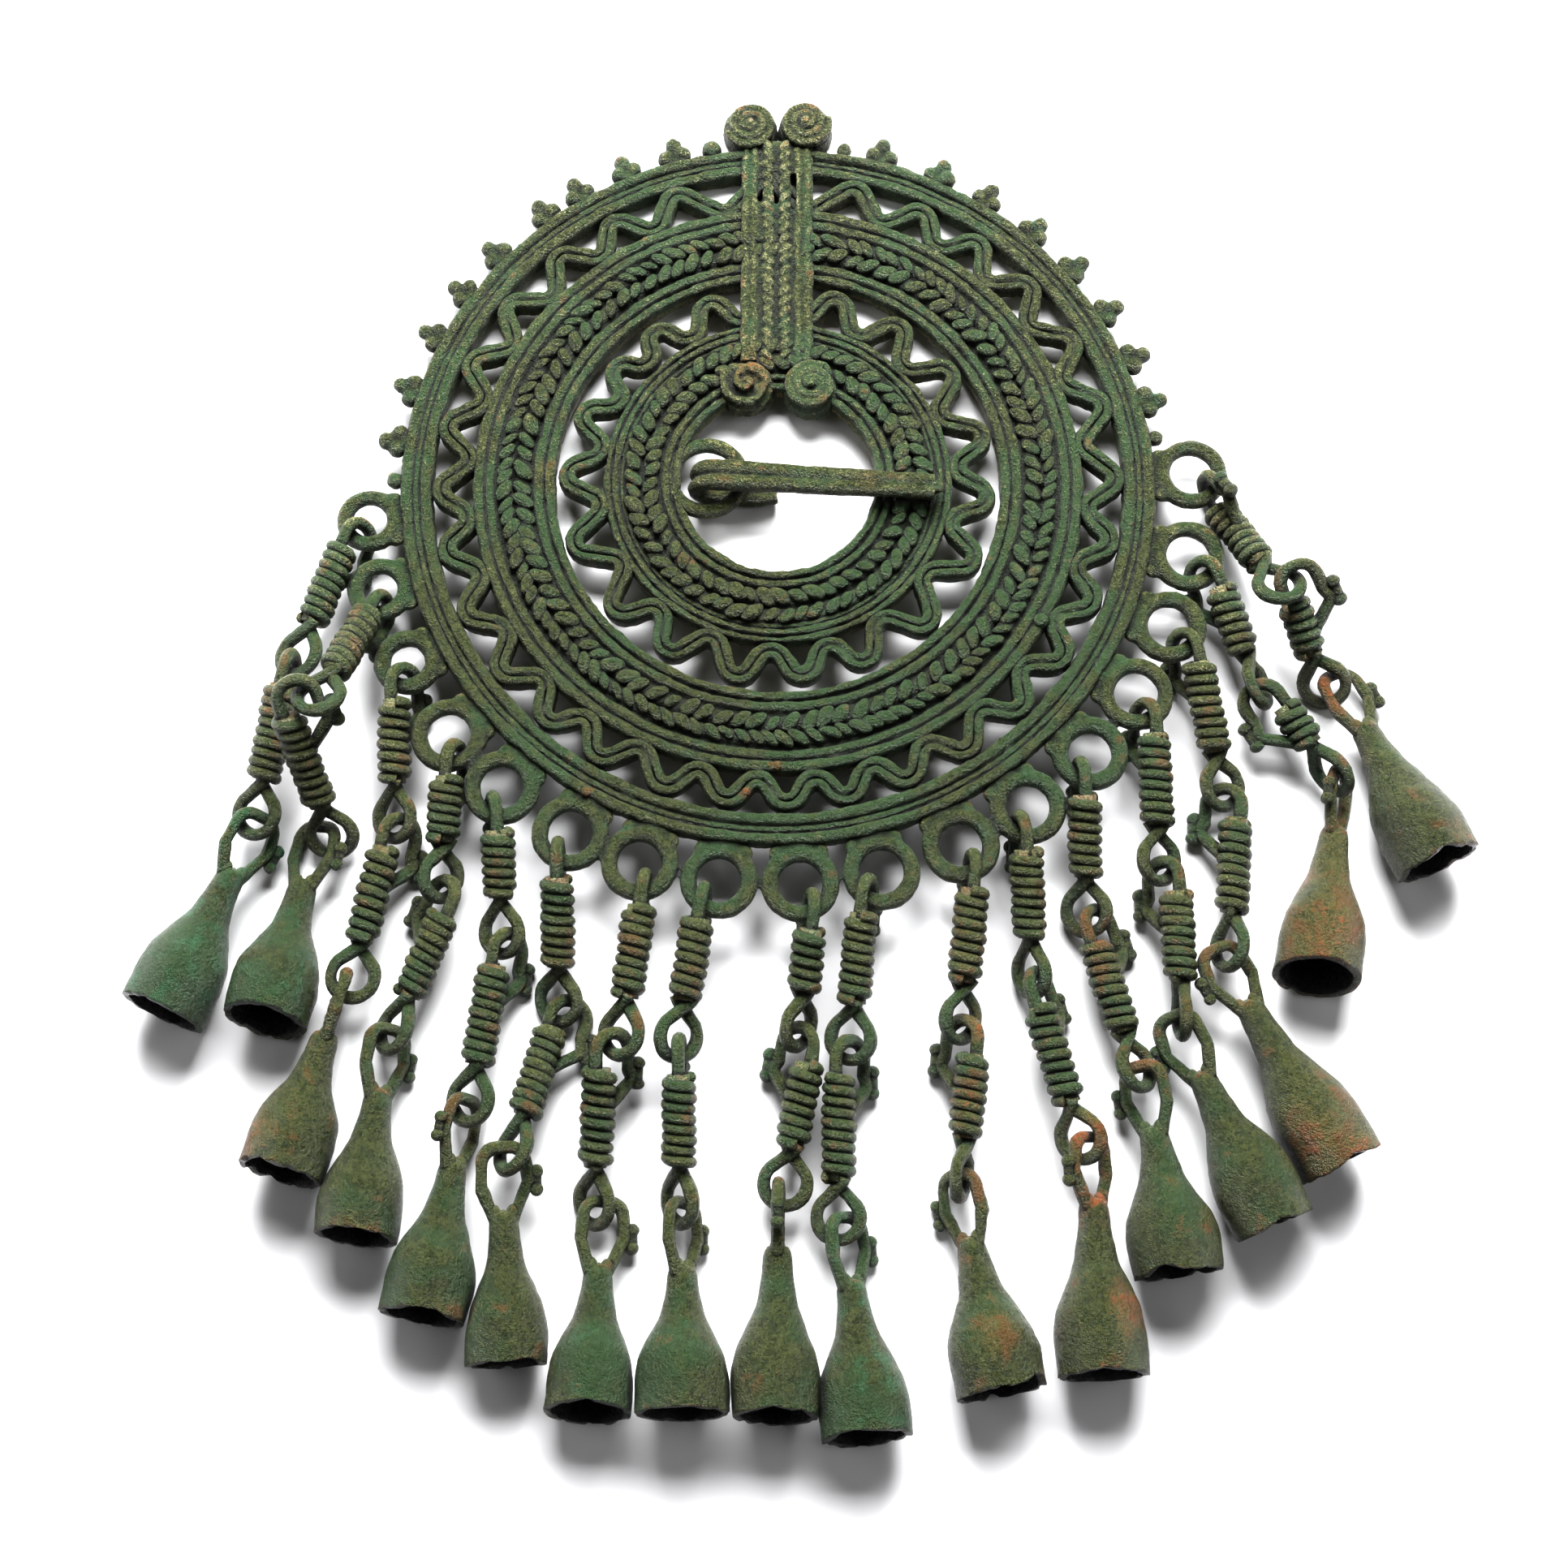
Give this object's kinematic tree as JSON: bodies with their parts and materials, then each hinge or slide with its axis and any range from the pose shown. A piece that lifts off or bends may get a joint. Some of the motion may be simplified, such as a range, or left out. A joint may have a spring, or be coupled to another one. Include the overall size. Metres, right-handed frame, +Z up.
{
  "type": "annular brooch",
  "caption": "Cast annular brooch with pierced zigzag zones, a hinged pin and a row of hanging open bells.",
  "frame": {"origin": "below the centre hole of the plate, on the floor that the brooch lies on", "axes": "+X to the right of the brooch seen face up, +Y to its top strip, +Z up from the floor"},
  "size_m": [0.1857, 0.1975, 0.0182],
  "materials": {
    "bronze": "satin"
  },
  "bodies": {
    "brooch": {"plate": "bronze", "upper_link_1": "bronze", "lower_link_1": "bronze", "bell_1": "bronze", "upper_link_2": "bronze", "lower_link_2": "bronze", "bell_2": "bronze", "upper_link_3": "bronze", "lower_link_3": "bronze", "bell_3": "bronze", "upper_link_4": "bronze", "lower_link_4": "bronze", "bell_4": "bronze", "upper_link_5": "bronze", "lower_link_5": "bronze", "bell_5": "bronze", "upper_link_6": "bronze", "lower_link_6": "bronze", "bell_6": "bronze", "upper_link_7": "bronze", "lower_link_7": "bronze", "bell_7": "bronze", "upper_link_8": "bronze", "lower_link_8": "bronze", "bell_8": "bronze", "upper_link_9": "bronze", "lower_link_9": "bronze", "bell_9": "bronze", "upper_link_10": "bronze", "lower_link_10": "bronze", "bell_10": "bronze", "upper_link_11": "bronze", "lower_link_11": "bronze", "bell_11": "bronze", "upper_link_12": "bronze", "lower_link_12": "bronze", "bell_12": "bronze", "upper_link_13": "bronze", "lower_link_13": "bronze", "bell_13": "bronze", "upper_link_14": "bronze", "lower_link_14": "bronze", "bell_14": "bronze", "upper_link_15": "bronze", "lower_link_15": "bronze", "bell_15": "bronze", "upper_link_16": "bronze", "lower_link_16": "bronze", "bell_16": "bronze", "upper_link_17": "bronze", "lower_link_17": "bronze", "bell_17": "bronze"},
    "pin": {"pin": "bronze"}
  },
  "joints": [
    {"name": "pin_hinge", "type": "hinge", "parent": "brooch", "child": "pin", "pos_m": [-0.0054, -0.00044, 0.00404], "axis": [-0.0628, -0.997, 0.0453], "range_deg": [0, 75]}
  ]
}
